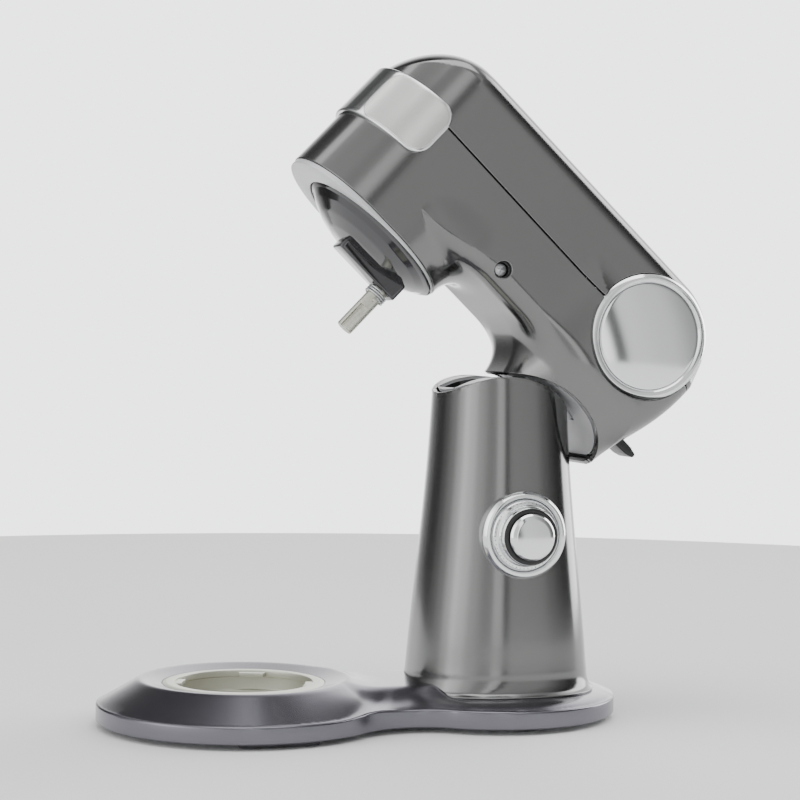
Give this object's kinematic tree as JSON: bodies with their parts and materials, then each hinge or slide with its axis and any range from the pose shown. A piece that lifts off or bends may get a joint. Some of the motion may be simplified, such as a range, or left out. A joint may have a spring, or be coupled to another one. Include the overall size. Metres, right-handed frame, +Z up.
{
  "type": "stand mixer",
  "caption": "Tilt-head stand mixer, head raised: tapered column on a disc base with a bowl socket, side speed knob, round-nosed head with a planetary beater drive.",
  "frame": {"origin": "on the floor, under the middle of the box round the mixer with its head raised", "axes": "+Z up; the nose and the bowl socket towards -Y; the speed knob on the +X side"},
  "size_m": [0.2, 0.4214, 0.4593],
  "materials": {
    "gunmetal": "metallic grey enamel over die casting, satin gloss",
    "base_gunmetal": "metallic grey enamel over die casting, satin",
    "bell_gunmetal": "dark grey glossy enamel over die casting",
    "pale_plastic": "pale silver moulded, fine texture",
    "chrome": "mirror plated",
    "satin_chrome": "satin plated sides, brighter round the nose",
    "black_plastic": "moulded black",
    "rubber": "matt black",
    "nickel": "nickel plated",
    "steel": "machined",
    "bronze": "sintered bronze",
    "copper_steel": "steel laminations and copper windings",
    "nylon": "natural nylon",
    "board_green": "green laminate"
  },
  "bodies": {
    "stand": {"base_casting": "base_gunmetal", "base_cover": "steel", "foot_front_left": "rubber", "foot_front_right": "rubber", "foot_rear_left": "rubber", "foot_rear_right": "rubber", "bowl_clamp": "nickel", "cord_gland": "rubber", "column_casting": "gunmetal", "column_cap": "pale_plastic", "hinge_pin": "steel", "hinge_bush_left": "bronze", "hinge_bush_right": "bronze", "column_screw_1": "steel", "column_screw_2": "steel", "column_screw_3": "steel", "column_screw_4": "steel", "knob_bezel": "chrome", "speed_sensor": "black_plastic", "control_board": "board_green"},
    "head": {"head_lower_casting": "gunmetal", "head_top_cover": "gunmetal", "side_ring_left": "chrome", "side_disc_left": "chrome", "beam_screw_left": "steel", "side_ring_right": "chrome", "side_disc_right": "chrome", "beam_screw_right": "steel", "nose_plate": "pale_plastic", "neck_plate": "pale_plastic", "hinge_arm": "steel", "lever_pin": "steel", "ring_gear": "steel", "gearbox_floor": "steel", "gearbox_lid": "steel", "main_bearing_lower": "bronze", "main_bearing_upper": "bronze", "drive_belt": "rubber", "motor_case": "steel", "motor_end_cap": "black_plastic", "hub_socket": "steel"},
    "speed_knob": {"knob_dial": "black_plastic", "knob_cap": "chrome"},
    "hub_cover": {"hub_cover": "satin_chrome"},
    "release_lever": {"release_lever": "black_plastic"},
    "planet_carrier": {"planet_carrier": "bell_gunmetal", "main_shaft": "steel", "main_gear": "nylon", "main_bevel": "nylon"},
    "beater": {"beater_shaft": "nickel", "planet_gear": "steel", "cross_pin": "nickel", "shaft_spring": "steel"},
    "lay_shaft": {"lay_shaft": "steel", "lay_pinion": "steel", "lay_pulley": "black_plastic"},
    "armature": {"armature": "copper_steel", "motor_pulley": "steel", "cooling_fan": "black_plastic"},
    "hub_shaft": {"hub_shaft": "steel"}
  },
  "joints": [
    {"name": "head_tilt", "type": "hinge", "parent": "stand", "child": "head", "pos_m": [0, 0.06332, 0.173], "axis": [1, 0, 0], "range_deg": [0, 44]},
    {"name": "speed_turn", "type": "hinge", "parent": "stand", "child": "speed_knob", "pos_m": [0.06, 0.07132, 0.131], "axis": [1, 0, 0], "range_deg": [0, 270]},
    {"name": "carrier_spin", "type": "hinge", "parent": "head", "child": "planet_carrier", "pos_m": [0, -0.02017, 0.33703], "axis": [0, 0.6947, 0.7193], "continuous": true},
    {"name": "beater_spin", "type": "hinge", "parent": "planet_carrier", "child": "beater", "pos_m": [0, -0.01248, 0.3018], "axis": [0, 0.6947, 0.7193], "continuous": true},
    {"name": "lay_spin", "type": "hinge", "parent": "head", "child": "lay_shaft", "pos_m": [0, 0.06144, 0.34164], "axis": [0, 0.6947, 0.7193], "continuous": true},
    {"name": "motor_spin", "type": "hinge", "parent": "head", "child": "armature", "pos_m": [0, 0.14668, 0.25932], "axis": [0, 0.6947, 0.7193], "continuous": true},
    {"name": "hub_spin", "type": "hinge", "parent": "head", "child": "hub_shaft", "pos_m": [0, -0.00369, 0.40592], "axis": [0, -0.7193, 0.6947], "continuous": true},
    {"name": "lever_press", "type": "hinge", "parent": "head", "child": "release_lever", "pos_m": [0, 0.14623, 0.20415], "axis": [1, 0, 0], "range_deg": [0, 12], "stiffness_Nm_per_rad": 0.3, "springref_deg": -8.59},
    {"name": "hub_cover_pull", "type": "slide", "parent": "head", "child": "hub_cover", "axis": [0, -0.7193, 0.6947], "range_m": [0, 0.03]}
  ],
  "couplings": [
    {"joint": "beater_spin", "follows": "carrier_spin", "ratio": -3.1429},
    {"joint": "lay_spin", "follows": "carrier_spin", "ratio": -5},
    {"joint": "motor_spin", "follows": "carrier_spin", "ratio": -24.286},
    {"joint": "hub_spin", "follows": "carrier_spin", "ratio": 1.55}
  ]
}
